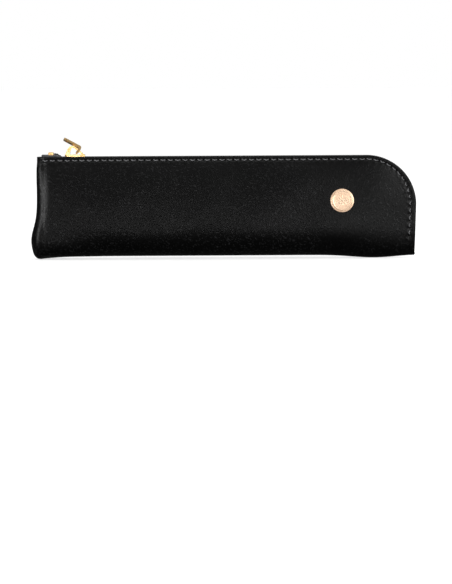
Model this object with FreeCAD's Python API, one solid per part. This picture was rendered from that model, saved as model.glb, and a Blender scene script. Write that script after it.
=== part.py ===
"""Slim zipped leather pen case: folded leather body, lining, coil zip, slider with pull, and a round badge.

Row frame, millimetres: +X runs along the case towards the rounded zip corner, -Y is the front with the badge,
+Z is up to the zip, and the origin is on the ground under the middle of the case.
The case stands on its boxed left foot and on the low spot of its bottom fold near the right end.
"""
import FreeCAD, Part
import math
import os

Vector = FreeCAD.Vector

# ---------------------------------------------------------------- driving dimensions
X_RIGHT = 100.0            # sewn edge at the right end
Z_TOP = 53.3               # leather edge along the zip
CORNER_R = 25.5            # rounded corner of the sewn edge
RIGHT_LEAN = 1.0           # the right edge leans in by this much at the fold
X_END = -97.0              # end seam at the left
END_LEAN = 0.5             # the end seam leans out by this much at the foot
EAR = 2.5                  # how far the boxed corner pushes the end seam out
EAR_Z = 9.5                # height of the fullest point of that corner
EAR_SPREAD = 9.0
FOOT_R = 3.5               # rounding of the foot in the front view
X_FOOT = -95.5             # the foot's lowest point
Z_FOOT = -0.25             # the foot and the sag are pressed flat at z = 0
FOOT_RISE = 1.75           # bottom fold's height above the foot
FOOT_RUN = 11.0            # length over which the fold rises from the foot
SAG = 1.55                 # the fold dips again near the right end
SAG_X = 78.0
SAG_SPREAD = 16.0

HALF_BELLY = 12.5          # half the depth at the fullest line
HALF_EDGE = 5.1            # half the depth across the two sewn edges
X_BELLY = 10.0             # the depth starts to fall off to the right of here
Z_BELLY = 16.0             # height of the fullest line
ALONG_POWER = 2.2          # how it falls off, along the case and up to the zip
UP_POWER = 1.7
END_ROUND = 8.0            # how far from the end seam the faces start to turn
END_POWER = 2.7
END_CUT = 80.0             # degrees of that turn kept before the flat seam
FOLD_POWER = 2.2           # roundness of the bottom fold
BOX_POWER = 3.6            # squareness of the boxed corner
BOX_RUN = 30.0             # length over which the box turns into a fold

LEATHER = 1.1              # wall thicknesses and the gap between the layers
TAPE = 0.45
LINING = 0.4
GAP = 0.05
PAST = 4.0                 # layers are built this far past the sewn edge and then cut

STITCH_DEPTH = 2.4         # stitch line to the sewn edge
STITCH_PITCH = 3.8
STITCH_LENGTH = 2.3
STITCH_R = 0.3
STITCH_FIRST_X = -93.5
STITCH_LAST_Z = 11.2
STITCH_PROUD = 0.06

TAPE_TOP = 0.55            # tape starts this far below the sewn edge and reaches down to TAPE_DEPTH
TAPE_DEPTH = 9.5
TAPE_FIRST_X = -94.5
WEB = 0.4                  # thickness of the tape between the leather and its coil
LINING_DEPTH = 4.6         # the lining starts this far below the sewn edge

CHAIN_DEPTH = 0.9          # middle of the coil below the sewn edge
CHAIN_FIRST_X = -88.4
CHAIN_LAST_Z = 13.6
COIL_HALF = 0.85           # half the coil's height
COIL_REACH = 1.8           # one row, from the chain's middle to its tape
MESH_GAP = 0.03            # between the two rows
ROW_SPREAD = 1.05          # how far the slider pushes each row apart
CHAIN_LIFT = 2.0           # the free ends of the chain stand up behind the slider

STOP_LENGTH = 2.6
STOP_HEIGHT = 2.3
STOP_REACH = 1.95
STOP_GAP = 0.35
BOTTOM_STOP_LENGTH = 2.4
BOTTOM_STOP_DEPTHS = (0.9, 2.7)    # it lies this far inside the sewn edge
BOTTOM_STOP_HALF = 2.2

LIP_X0, LIP_X1 = -62.0, 40.0   # the stretch of each wall that swings open
LIP_Z = 14.0               # its lower edge, with the hinge line just below
LIP_CUT = 0.3              # clearance round it

SLIDER_X = -77.2           # middle of the slider when the zip is shut
PLATE = 0.9
PLATE_ENDS = (-5.2, 5.2)   # ends of the plates along the slider
PLATE_WIDE = (-4.2, -0.4)  # where they are at their full half width
PLATE_TAPER_X = 2.6        # where they have narrowed
WIDE_HALF = 3.4
NARROW_HALF = 2.4
THROAT_HALF = 2.5
CHANNEL = 1.0              # half the height of the slider's channel
MOUTH_HALF = 1.9           # half the width of its openings, to the right and to the left
LEFT_MOUTH_HALF = 2.96
LEFT_MOUTH_X = -3.4
TAPE_SLOT = 0.7            # half the slot that the tapes run in
FLANGE = 0.42
DIVIDER_HALF = 0.85
DIVIDER_LENGTH = 2.2
DIVIDER_NOSE = 0.3
BRIDGE_WIDTH = 1.7
BRIDGE_FEET = (-5.1, -2.8, 3.53, 4.9)                    # left leg, then right leg, on the upper plate
BRIDGE_OUTER = [(-4.0, 4.6), (-2.6, 6.4), (-0.3, 6.4)]   # its line over the top, from the chain's middle
BRIDGE_INNER = [(-0.6, 5.47), (-1.9, 5.3)]               # and under it
BRIDGE_ROUNDING = 0.4

PULL_PIN = (1.0, 3.1)      # pull's pin from the slider's middle and the chain's, along X and Z
PULL_PIN_R = 0.5
PULL_HALF = 2.4
PULL_WINDOW = 1.45         # half the width of the ring's window
PULL_THICK = 1.0
PULL_RISE = 2.95           # the tab lies this far above the line through its pin
PULL_WINDOW_END = 4.5      # ends of the window and of the tab along that line
PULL_TIP = 9.3
PULL_PITCH = 28.4          # degrees above the zip, towards the left end
PULL_ROLL = 14.0           # degrees, leaning to the front
PULL_HOLE_R = 0.55
PULL_HOLE_INSET = 2.0      # hole to the tip
PULL_CORNER = 1.3          # rounding of the tip's corners
HOOK_SHOULDER = [(-0.1, 0.0), (-0.6, 0.25), (-0.95, 0.75)]   # the arm's bend down to the pin, below its top
HOOK_HEEL = (-1.05, 1.6)
HOOK_THROAT = ((0.1, 1.7), 0.3)

BADGE_X, BADGE_Z = 61.3, 30.0
BADGE_R = 6.1              # base, then the raised face inside its rim
FACE_R = 5.3
BASE_HEIGHT = 1.0
FACE_HEIGHT = 0.6
POST_R = 1.2
WASHER_R = 3.6
WASHER_THICK = 0.35
WASHER_GAP = 0.25          # washer to the leather's inside
BASE_SINK = 0.4            # the base follows the curve of the leather down to here
FACE_ROUNDING = 0.3
POST_PROUD = 0.3           # the post stands out past its washer, and runs up into the base
POST_HEAD = 0.35

FAR = 200.0                # far limit of the cutting blocks
FRONT, BACK = -1, 1
SIDES = {"front": FRONT, "back": BACK}

CORNER_X = X_RIGHT - CORNER_R
CORNER_Z = Z_TOP - CORNER_R
CHAIN_Z = Z_TOP - CHAIN_DEPTH
TAPE_INSET = LEATHER + GAP
LINING_INSET = TAPE_INSET + TAPE + GAP


# ---------------------------------------------------------------- small builders
def box(x0, x1, y0, y1, z0, z1):
    return Part.makeBox(x1 - x0, y1 - y0, z1 - z0, Vector(x0, y0, z0))


def polygon_xz(points, y0, y1):
    """A prism whose outline is drawn in the front view."""
    corners = [Vector(x, y0, z) for x, z in points]
    return Part.Face(Part.makePolygon(corners + corners[:1])).extrude(Vector(0, y1 - y0, 0))


def polygon_xy(points, z0, z1):
    """A prism whose outline is drawn in the plan view."""
    corners = [Vector(x, y, z0) for x, y in points]
    return Part.Face(Part.makePolygon(corners + corners[:1])).extrude(Vector(0, 0, z1 - z0))


def smooth(t):
    """0 below t = 0, 1 above t = 1, and an even S between them."""
    t = min(max(t, 0.0), 1.0)
    return t * t * (3 - 2 * t)


# ---------------------------------------------------------------- the form of the pouch
def half_depth(x, z):
    """Half the outside depth of the case at a point of the front view, above the fullest line."""
    along = max(0.0, (x - X_BELLY) / (X_RIGHT - X_BELLY))
    up = max(0.0, (z - Z_BELLY) / (Z_TOP - Z_BELLY))
    return HALF_EDGE + (HALF_BELLY - HALF_EDGE) * (1 - along ** ALONG_POWER) * (1 - up ** UP_POWER)


def fold_z(x):
    """Height of the bottom fold."""
    rise = FOOT_RISE * (1 - math.exp(-max(0.0, x - X_FOOT) / FOOT_RUN))
    return Z_FOOT + rise - SAG * math.exp(-((x - SAG_X) / SAG_SPREAD) ** 2)


def end_x(z):
    """Where the end seam lies, with the boxed corner's ear."""
    return X_END - END_LEAN * (1 - z / Z_TOP) - EAR * math.exp(-((z - EAR_Z) / EAR_SPREAD) ** 2)


def section(x, turn, inset):
    """Points round one cross section, from the front of the zip down round the fold and up the back. turn is
    how far round the left end it lies, in radians."""
    box_share = 1 - smooth((x - X_END - END_ROUND) / BOX_RUN)
    power = FOLD_POWER + (BOX_POWER - FOLD_POWER) * box_share
    narrowing = math.cos(turn) ** (2 / END_POWER)
    low = fold_z(x) + inset
    half = []
    for i in range(7):
        angle = math.pi / 2 * i / 6
        z = Z_BELLY - (Z_BELLY - low) * max(0.0, math.cos(angle)) ** (2 / power)
        width = (half_depth(x, Z_BELLY) * narrowing - inset) * math.sin(angle) ** (2 / power)
        half.append((width, z))
    for i in range(1, 13):
        z = Z_BELLY + (Z_TOP + PAST - Z_BELLY) * i / 12
        half.append((half_depth(x, z) * narrowing - inset, z))
    front = [Vector(x, -width, z) for width, z in reversed(half)]
    back = [Vector(x, width, z) for width, z in half[1:]]
    return front + back


def pouch_block(inset):
    """Everything inside the skin pushed in by inset, with the zip side and the right end left long."""
    turned = X_END + END_ROUND
    reach = turned - (X_END - END_LEAN - EAR - 1.0)
    rows = []
    for degrees in (END_CUT, 72, 62, 50, 36, 18):
        turn = math.radians(degrees)
        x = turned - (reach - inset) * math.sin(turn) ** (2 / END_POWER)
        rows.append(section(x, turn, inset))
    for i in range(15):
        x = turned + (X_RIGHT + PAST - turned) * i / 14
        rows.append(section(x, 0.0, inset))
    surface = Part.BSplineSurface()
    surface.interpolate(rows)
    u0, u1, v0, v1 = surface.bounds()
    rims = [surface.vIso(v).toShape() for v in (v0, v1)]
    ends = [surface.uIso(u).toShape() for u in (u0, u1)]
    ties = [Part.LineSegment(row[0], row[-1]).toShape() for row in (rows[0], rows[-1])]
    lid = Part.makeRuledSurface(*rims)
    caps = [Part.Face(Part.Wire([end, tie])) for end, tie in zip(ends, ties)]
    shell = Part.Shell([surface.toShape(), lid] + caps)
    shell.sewShape()
    solid = Part.Solid(shell)
    if solid.Volume < 0:
        solid.reverse()
    return solid


def end_outline(inset):
    """Everything to the right of the end seam pushed in by inset, with the foot rounded."""
    heights = [FOOT_R + (Z_TOP + PAST - FOOT_R) * i / 12 for i in range(13)]
    curve = Part.BSplineCurve()
    curve.interpolate([Vector(end_x(z) + inset, -FAR, z) for z in heights])
    top, foot = curve.value(curve.LastParameter), curve.value(curve.FirstParameter)
    bend = FOOT_R * (1 - math.sqrt(0.5))
    under = Vector(foot.x + FOOT_R, -FAR, 0.0)
    arc = Part.Arc(foot, Vector(foot.x + bend, -FAR, bend), under)
    corners = [under, Vector(under.x, -FAR, -FAR), Vector(FAR, -FAR, -FAR), Vector(FAR, -FAR, top.z), top]
    edges = [curve.toShape(), arc.toShape()]
    edges += [Part.LineSegment(a, b).toShape() for a, b in zip(corners, corners[1:])]
    return Part.Face(Part.Wire(Part.__sortEdges__(edges))).extrude(Vector(0, 2 * FAR, 0))


def pouch(inset):
    return pouch_block(inset).common(end_outline(inset))


# ---------------------------------------------------------------- regions of the front view
def edge_path(depth, x_from, z_to):
    """The line that runs at a depth inside the sewn edge: along the zip, round the corner and down the right
    edge. Returned as edges in the plane y = 0."""
    r = CORNER_R - depth
    middle = r * math.sqrt(0.5)
    top_end = Vector(CORNER_X, 0, Z_TOP - depth)
    side_start = Vector(X_RIGHT - depth, 0, CORNER_Z)
    top = Part.LineSegment(Vector(x_from, 0, Z_TOP - depth), top_end)
    turn = Part.Arc(top_end, Vector(CORNER_X + middle, 0, CORNER_Z + middle), side_start)
    down = Part.LineSegment(side_start, Vector(X_RIGHT - depth, 0, z_to))
    return [top.toShape(), turn.toShape(), down.toShape()]


def band(depth0, depth1, x_from, z_to, y0, y1):
    """The strip between two depths inside the sewn edge, from y0 to y1."""
    outer, inner = edge_path(depth0, x_from, z_to), edge_path(depth1, x_from, z_to)
    left = Part.LineSegment(Vector(x_from, 0, Z_TOP - depth0), Vector(x_from, 0, Z_TOP - depth1))
    low = Part.LineSegment(Vector(X_RIGHT - depth0, 0, z_to), Vector(X_RIGHT - depth1, 0, z_to))
    wire = Part.Wire(Part.__sortEdges__(outer + inner + [left.toShape(), low.toShape()]))
    strip = Part.Face(wire).extrude(Vector(0, y1 - y0, 0))
    strip.translate(Vector(0, y0, 0))
    return strip


def sewn_outline(depth):
    """Everything inside a depth from the sewn edge, as a block through the whole case."""
    edges = edge_path(depth, -FAR, 0.0)[:2]
    right, low = X_RIGHT - depth, Z_TOP - depth
    points = [(right, CORNER_Z), (right - RIGHT_LEAN, 0.0), (right - RIGHT_LEAN, -FAR), (-FAR, -FAR), (-FAR, low)]
    corners = [Vector(x, 0, z) for x, z in points]
    edges += [Part.LineSegment(a, b).toShape() for a, b in zip(corners, corners[1:])]
    block = Part.Face(Part.Wire(Part.__sortEdges__(edges))).extrude(Vector(0, 2 * FAR, 0))
    block.translate(Vector(0, -FAR, 0))
    return block


def lip_block(side, grow):
    """The block that holds one wall's swinging stretch."""
    y0, y1 = (-FAR, 0.0) if side == FRONT else (0.0, FAR)
    return box(LIP_X0 - grow, LIP_X1 + grow, y0, y1, LIP_Z - grow, FAR)


def split(shape, side):
    """One wall's strip as its three stretches: left of the lip, on the lip and right of the lip."""
    y0, y1 = (-FAR, 0.0) if side == FRONT else (0.0, FAR)
    left = box(-FAR, LIP_X0 - LIP_CUT, y0, y1, -FAR, FAR)
    middle = box(LIP_X0, LIP_X1, y0, y1, -FAR, FAR)
    right = box(LIP_X1 + LIP_CUT, FAR, y0, y1, -FAR, FAR)
    return {"left": shape.common(left), "lip": shape.common(middle), "right": shape.common(right)}


# ---------------------------------------------------------------- leather and lining
def walls_and_lips(shell):
    """A layer's fixed part and its two swinging stretches."""
    fixed = shell
    lips = {}
    for name, side in SIDES.items():
        lips[name] = shell.common(lip_block(side, 0.0))
        fixed = fixed.cut(lip_block(side, LIP_CUT))
    return fixed, lips


def leather_parts():
    ground = box(-FAR, FAR, -FAR, FAR, 0.0, FAR)
    shell = pouch(0.0).cut(pouch(LEATHER)).common(sewn_outline(0.0)).common(ground)
    return walls_and_lips(shell)


def lining_parts():
    shell = pouch(LINING_INSET).cut(pouch(LINING_INSET + LINING)).common(sewn_outline(LINING_DEPTH))
    return walls_and_lips(shell)


# ---------------------------------------------------------------- zip
def spread(x):
    """How far each row is pushed out from the chain's middle by the slider and behind it."""
    return MESH_GAP + ROW_SPREAD * smooth((SLIDER_X + 1.5 - x) / 4.2)


def lift(x):
    """How far the free end of the chain stands up behind the slider."""
    return CHAIN_LIFT * smooth((SLIDER_X - 5.6 - x) / 4.5)


def chain_bar(side, y_in, y_out, half, x0, x1):
    """A bar along the free end of the chain, following its spread in plan and its lift in the front view."""
    xs = [x0 + (x1 - x0) * i / 16 for i in range(17)]
    inner = [(x, side * (y_in + spread(x))) for x in xs]
    outer = [(x, side * y_out(x)) for x in reversed(xs)]
    low = [(x, CHAIN_Z + lift(x) - half) for x in xs]
    high = [(x, CHAIN_Z + lift(x) + half) for x in reversed(xs)]
    return polygon_xy(inner + outer, 0.0, FAR).common(polygon_xz(low + high, -FAR, FAR))


def coil_parts(side):
    """One row of the coil: its free end up to the first lip cut is shaped by the slider, the rest is straight."""
    y0, y1 = sorted((side * MESH_GAP, side * COIL_REACH))
    depth0, depth1 = CHAIN_DEPTH - COIL_HALF, CHAIN_DEPTH + COIL_HALF
    parts = split(band(depth0, depth1, LIP_X0 - 1.0, CHAIN_LAST_Z, y0, y1), side)
    x_split = LIP_X0 - LIP_CUT
    parts["left"] = chain_bar(side, 0.0, lambda x: COIL_REACH + spread(x), COIL_HALF, CHAIN_FIRST_X, x_split)
    return parts


def tape_parts(side):
    """One tape: sewn flat behind the leather, then bent in under the sewn edge to its row of the coil."""
    skin = pouch(TAPE_INSET)
    sheet = skin.cut(pouch(TAPE_INSET + TAPE))
    y0, y1 = sorted((side * 0.5, side * FAR))
    strip = sheet.common(band(TAPE_TOP, TAPE_DEPTH, TAPE_FIRST_X, CHAIN_LAST_Z, y0, y1))
    y0, y1 = sorted((side * COIL_REACH, side * FAR))
    web = band(CHAIN_DEPTH - WEB / 2, CHAIN_DEPTH + WEB / 2, LIP_X0 - 1.0, CHAIN_LAST_Z, y0, y1)
    parts = split(strip.fuse(web.common(skin)), side)
    x_split = LIP_X0 - LIP_CUT
    start = strip.common(box(-FAR, x_split, -FAR, FAR, -FAR, FAR))
    free = chain_bar(side, COIL_REACH + MESH_GAP, lambda x: HALF_EDGE, WEB / 2, TAPE_FIRST_X, x_split)
    y0, y1 = sorted((0.0, side * FAR))
    tongue = box(TAPE_FIRST_X, SLIDER_X - 6.0, y0, y1, Z_TOP - 2.0, CHAIN_Z + CHAIN_LIFT + WEB / 2)
    parts["left"] = start.fuse(free.common(skin)).fuse(tongue.common(sheet))
    return {name: part.removeSplitter() for name, part in parts.items()}


def top_stop(side):
    """A clip squeezed over the end of one row."""
    x1 = CHAIN_FIRST_X - 0.02
    z = CHAIN_Z + lift(x1)
    y0, y1 = sorted((side * (spread(x1) - 0.1), side * (spread(x1) + STOP_REACH)))
    clip = box(x1 - STOP_LENGTH, x1, y0, y1, z - STOP_HEIGHT / 2, z + STOP_HEIGHT / 2)
    clip = clip.makeFillet(STOP_GAP, clip.Edges)
    y0, y1 = sorted((side * (spread(x1) + COIL_REACH - 0.02), side * FAR))
    return clip.cut(box(-FAR, FAR, y0, y1, z - WEB / 2, z + WEB / 2))


def bottom_stop():
    """One clip over both rows at the low end of the chain."""
    shallow, deep = BOTTOM_STOP_DEPTHS
    z1 = CHAIN_LAST_Z - 0.02
    half = BOTTOM_STOP_HALF
    clip = box(X_RIGHT - deep, X_RIGHT - shallow, -half, half, z1 - BOTTOM_STOP_LENGTH, z1)
    return clip.makeFillet(STOP_GAP, clip.Edges)


def end_tab():
    """Doubled leather sewn across the left end of the zip, closing the top of the pouch beside the stops."""
    reach = half_depth(0.0, Z_TOP) - LEATHER - TAPE - 2 * GAP
    x1 = CHAIN_FIRST_X - STOP_LENGTH - 0.4
    slab = box(end_x(Z_TOP) + LEATHER + GAP, x1, -reach, reach, Z_TOP - 2.6, Z_TOP - 0.3)
    return slab.common(pouch(LINING_INSET + LINING + GAP)).removeSplitter()


# ---------------------------------------------------------------- slider and pull
def slider_outline(shrink):
    """Plan of the slider's plates: wide with two throats at the left, narrow at the right."""
    left, right = PLATE_ENDS
    half = [(left, THROAT_HALF), (PLATE_WIDE[0], WIDE_HALF), (PLATE_WIDE[1], WIDE_HALF)]
    half += [(PLATE_TAPER_X, NARROW_HALF), (right, NARROW_HALF)]
    half = [(x, y - shrink) for x, y in half]
    around = half + [(x, -y) for x, y in reversed(half)]
    return [(SLIDER_X + x, y) for x, y in around]


def slider_body():
    """Two plates joined by the divider between the rows, with flanges that leave a slot for the tapes."""
    top = CHANNEL + PLATE
    block = polygon_xy(slider_outline(0.0), CHAIN_Z - top, CHAIN_Z + top)
    channel = polygon_xy(slider_outline(FLANGE), CHAIN_Z - CHANNEL, CHAIN_Z + CHANNEL)
    x0, x1 = SLIDER_X + PLATE_ENDS[0] - 1.0, SLIDER_X + PLATE_ENDS[1] + 1.0
    low, high = CHAIN_Z - CHANNEL, CHAIN_Z + CHANNEL
    mouths = box(x0, x1, -MOUTH_HALF, MOUTH_HALF, low, high)
    left_mouths = box(x0, SLIDER_X + LEFT_MOUTH_X, -LEFT_MOUTH_HALF, LEFT_MOUTH_HALF, low, high)
    slots = box(x0, x1, -FAR, FAR, CHAIN_Z - TAPE_SLOT, CHAIN_Z + TAPE_SLOT)
    start = SLIDER_X + PLATE_ENDS[0]
    nose = start + DIVIDER_LENGTH
    wedge = [(start, -DIVIDER_HALF), (nose, -DIVIDER_NOSE), (nose, DIVIDER_NOSE), (start, DIVIDER_HALF)]
    divider = polygon_xy(wedge, low, high)
    return block.cut(channel).cut(mouths).cut(left_mouths).cut(slots).fuse(divider).removeSplitter()


def slider_bridge():
    """The arch on the slider that holds the pull: a broad leg at the left, a long slope down to the right."""
    base = CHANNEL + PLATE
    outer = [(BRIDGE_FEET[0], base), *BRIDGE_OUTER, (BRIDGE_FEET[3], base)]
    inner = [(BRIDGE_FEET[2], base), *BRIDGE_INNER, (BRIDGE_FEET[1], base)]
    points = [(SLIDER_X + x, CHAIN_Z + z) for x, z in outer + inner]
    arch = polygon_xz(points, -BRIDGE_WIDTH / 2, BRIDGE_WIDTH / 2)
    knee = CHAIN_Z + BRIDGE_OUTER[0][1] - 0.1
    crown = [edge for edge in arch.Edges if edge.BoundBox.ZMin > knee and edge.BoundBox.YLength > 1]
    return arch.makeFillet(BRIDGE_ROUNDING, crown)


def pull_tab():
    """A ring with a tab at one end, hooked under the bridge. Drawn with the tab along +X and the pin at the
    origin, then turned to rest on the bridge."""
    low, high = PULL_RISE - PULL_THICK / 2, PULL_RISE + PULL_THICK / 2
    tab = box(PULL_WINDOW_END, PULL_TIP, -PULL_HALF, PULL_HALF, low, high)
    tip = [e for e in tab.Edges if e.BoundBox.XMin > PULL_TIP - 0.1 and e.BoundBox.ZLength > 0.5]
    tab = tab.makeFillet(PULL_CORNER, tip)
    hole = Part.makeCylinder(PULL_HOLE_R, 4.0, Vector(PULL_TIP - PULL_HOLE_INSET, 0, low - 1.0), Vector(0, 0, 1))
    tab = tab.cut(hole)
    hook = [(PULL_WINDOW_END, low), (PULL_WINDOW_END, high)]
    hook += [(x, high - drop) for x, drop in HOOK_SHOULDER]
    hook += [(HOOK_HEEL[0], HOOK_HEEL[1]), (-PULL_PIN_R, 0.0), (PULL_PIN_R, 0.0), HOOK_THROAT[0]]
    hook += [(HOOK_THROAT[1], low)]
    arms = polygon_xz(hook, -PULL_HALF, -PULL_WINDOW).fuse(polygon_xz(hook, PULL_WINDOW, PULL_HALF))
    pin = Part.makeCylinder(PULL_PIN_R, 2 * PULL_HALF, Vector(0, -PULL_HALF, 0), Vector(0, 1, 0))
    pull = tab.fuse(arms).fuse(pin).removeSplitter()
    pull.rotate(Vector(0, 0, 0), Vector(1, 0, 0), PULL_ROLL)
    pull.rotate(Vector(0, 0, 0), Vector(0, 0, 1), 180)
    pull.rotate(Vector(0, 0, 0), Vector(0, 1, 0), PULL_PITCH)
    pull.translate(Vector(SLIDER_X + PULL_PIN[0], 0, CHAIN_Z + PULL_PIN[1]))
    return pull


# ---------------------------------------------------------------- badge
def badge_frame():
    """The badge's place on the skin and the outward direction there."""
    step = 0.5
    y = half_depth(BADGE_X, BADGE_Z)
    slope_x = (half_depth(BADGE_X + step, BADGE_Z) - half_depth(BADGE_X - step, BADGE_Z)) / (2 * step)
    slope_z = (half_depth(BADGE_X, BADGE_Z + step) - half_depth(BADGE_X, BADGE_Z - step)) / (2 * step)
    outward = Vector(-slope_x, -1.0, -slope_z)
    outward.normalize()
    return Vector(BADGE_X, -y, BADGE_Z), outward


def badge_parts(leather, lining):
    """Round badge riveted through the front: a stepped base, a raised face, a post and a washer inside. The
    leather and the lining get the holes that it needs."""
    centre, outward = badge_frame()

    def disc(radius, low, high):
        return Part.makeCylinder(radius, high - low, centre + outward * low, outward)

    base = disc(BADGE_R, -BASE_SINK, BASE_HEIGHT).cut(leather)
    base = max(base.Solids, key=lambda solid: solid.Volume)
    face = disc(FACE_R, BASE_HEIGHT, BASE_HEIGHT + FACE_HEIGHT)
    face = face.makeFillet(FACE_ROUNDING, [face.Edges[0]])
    inside = -(LEATHER + WASHER_THICK + WASHER_GAP)
    post = disc(POST_R, inside - POST_PROUD, POST_HEAD)
    washer = disc(WASHER_R, inside, inside + WASHER_THICK).cut(post)
    base = base.cut(post)
    leather = leather.cut(disc(POST_R, -LEATHER - 1.0, BASE_HEIGHT))
    lining = lining.cut(disc(WASHER_R + 0.2, inside - LINING, 0.0))
    return {"badge_base": base, "badge_face": face, "badge_post": post, "badge_washer": washer}, leather, lining


# ---------------------------------------------------------------- stitching
def stitch_line():
    """Middle points and directions of the stitches along the sewn edge, in the front view."""
    r = CORNER_R - STITCH_DEPTH
    top = CORNER_X - STITCH_FIRST_X
    turn = r * math.pi / 2
    length = top + turn + CORNER_Z - STITCH_LAST_Z
    count = round(length / STITCH_PITCH)
    for i in range(count):
        s = (i + 0.5) * length / count
        if s < top:
            yield STITCH_FIRST_X + s, Z_TOP - STITCH_DEPTH, 0.0
        elif s < top + turn:
            angle = (s - top) / r
            yield CORNER_X + r * math.sin(angle), CORNER_Z + r * math.cos(angle), angle
        else:
            yield X_RIGHT - STITCH_DEPTH, CORNER_Z - (s - top - turn), math.pi / 2


def stitches(side):
    """One side's stitches, as short threads lying on the leather, in its three stretches."""
    groups = {"left": [], "lip": [], "right": []}
    for x, z, angle in stitch_line():
        along = Vector(math.cos(angle), 0, -math.sin(angle))
        y = side * (half_depth(x, z) + STITCH_R + STITCH_PROUD)
        start = Vector(x, y, z) - along * (STITCH_LENGTH / 2)
        thread = Part.makeCylinder(STITCH_R, STITCH_LENGTH, start, along)
        x0, x1 = thread.BoundBox.XMin, thread.BoundBox.XMax
        if x1 < LIP_X0 - LIP_CUT:
            groups["left"].append(thread)
        elif x0 > LIP_X1 + LIP_CUT:
            groups["right"].append(thread)
        elif x0 > LIP_X0 and x1 < LIP_X1:
            groups["lip"].append(thread)
    return {name: Part.makeCompound(threads) for name, threads in groups.items()}


# ---------------------------------------------------------------- the whole case
def build():
    leather, leather_lips = leather_parts()
    lining, lining_lips = lining_parts()
    badge, leather, lining = badge_parts(leather, lining)
    parts = {"leather_body": leather, "lining_body": lining}
    parts.update(badge)
    for name, side in SIDES.items():
        parts[f"leather_lip_{name}"] = leather_lips[name]
        parts[f"lining_lip_{name}"] = lining_lips[name]
        for kind, stretches in (("coil", coil_parts(side)), ("tape", tape_parts(side)), ("stitch", stitches(side))):
            for stretch, shape in stretches.items():
                parts[f"{kind}_{name}_{stretch}"] = shape
        parts[f"top_stop_{name}"] = top_stop(side)
    parts["bottom_stop"] = bottom_stop()
    parts["end_tab"] = end_tab()
    parts["slider_body"] = slider_body()
    parts["slider_bridge"] = slider_bridge()
    parts["pull_tab"] = pull_tab()
    return parts


os.makedirs("parts", exist_ok=True)
for node, shape in build().items():
    shape.exportStep(f"parts/{node}.step")
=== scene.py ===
"""Looks of the zipped leather pen case: leather, tapes, nylon coil, stitching, lining and gold metal."""
import math
import random

import bmesh
import bpy
import numpy as np
from mathutils import Matrix, Vector


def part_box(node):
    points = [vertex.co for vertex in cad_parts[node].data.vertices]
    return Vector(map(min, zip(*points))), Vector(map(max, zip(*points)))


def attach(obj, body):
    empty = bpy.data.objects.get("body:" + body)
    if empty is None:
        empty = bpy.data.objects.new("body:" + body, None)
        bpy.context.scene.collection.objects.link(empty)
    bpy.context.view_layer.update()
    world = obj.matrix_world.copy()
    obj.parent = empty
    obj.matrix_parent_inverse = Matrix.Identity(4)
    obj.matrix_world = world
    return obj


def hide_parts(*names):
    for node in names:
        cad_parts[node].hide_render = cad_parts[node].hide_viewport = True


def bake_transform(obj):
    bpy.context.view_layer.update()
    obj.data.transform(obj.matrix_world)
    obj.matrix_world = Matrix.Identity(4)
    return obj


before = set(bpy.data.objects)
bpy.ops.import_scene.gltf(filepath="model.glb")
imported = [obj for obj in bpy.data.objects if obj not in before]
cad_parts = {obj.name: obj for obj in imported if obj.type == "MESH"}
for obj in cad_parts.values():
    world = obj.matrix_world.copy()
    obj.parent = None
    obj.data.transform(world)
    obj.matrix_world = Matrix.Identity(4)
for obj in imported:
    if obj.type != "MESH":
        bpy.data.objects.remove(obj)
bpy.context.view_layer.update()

MM = 0.001
SEED = 7
SCRATCH = 0.00002        # depth of the scratches in the plating, in metres

# ---------------------------------------------------------------- the case's form, in millimetres
X_RIGHT, Z_TOP, CORNER_R, RIGHT_LEAN = 100.0, 53.3, 25.5, 1.0
CORNER_X, CORNER_Z = X_RIGHT - CORNER_R, Z_TOP - CORNER_R
X_END, END_LEAN, EAR, EAR_Z, EAR_SPREAD = -97.0, 0.5, 2.5, 9.5, 9.0
FOOT_R, X_FOOT, Z_FOOT, FOOT_RISE, FOOT_RUN = 3.5, -95.5, -0.1, 1.6, 11.0
SAG, SAG_X, SAG_SPREAD = 1.45, 78.0, 16.0
HALF_BELLY, HALF_EDGE, X_BELLY, Z_BELLY = 12.3, 5.1, 10.0, 16.0
ALONG_POWER, UP_POWER = 2.2, 1.7
END_ROUND, END_POWER = 8.0, 2.7
FOLD_POWER, BOX_POWER, BOX_RUN = 2.2, 3.6, 30.0
TURN_X = X_END + END_ROUND
LEATHER, TAPE, LINING, GAP = 1.1, 0.45, 0.4, 0.05
STITCH_DEPTH, STITCH_DRIFT, STITCH_PITCH = 1.95, 1.2, 3.8
STITCH_FIRST_X, STITCH_LAST_Z = -94.5, 11.2
CHAIN_DEPTH, COIL_REACH, CHAIN_LIFT = 0.9, 1.8, 2.0
CHAIN_FIRST_X, CHAIN_LAST_Z = -88.4, 13.6
SLIDER_X = -77.2
MESH_GAP, ROW_SPREAD = 0.03, 1.05
COIL_PITCH, FILAMENT_R, COIL_MIDDLE, COIL_SWING, COIL_RISE = 1.4, 0.27, 0.74, 0.80, 0.50
TAPE_DEPTH, TAPE_TURN, TAPE_FIRST_X = 9.5, 1.7, -94.5
LINING_DEPTH = 4.6
BADGE_X, BADGE_Z = 61.3, 30.0
TOP_LENGTH = CORNER_X - X_END
ARC_LENGTH = CORNER_R * math.pi / 2

# how each wall is divided: lines round the left end and along the case, rows from the sewn edge down
TURN_LINES, LINE_STEP, QUICK_LINE_STEP, LINING_STEP = 19, 0.42, 0.8, 1.6
FAN_X, FAN_POWER, LAST_LINE_Z = 30.0, 1.45, 2.2
NEAR_ROW, NEAR_DEPTH, MIDDLE_ROW, WALL_LENGTH = 0.3, 3.6, 0.6, 62.0
SAMPLES_DOWN = 240

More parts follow.
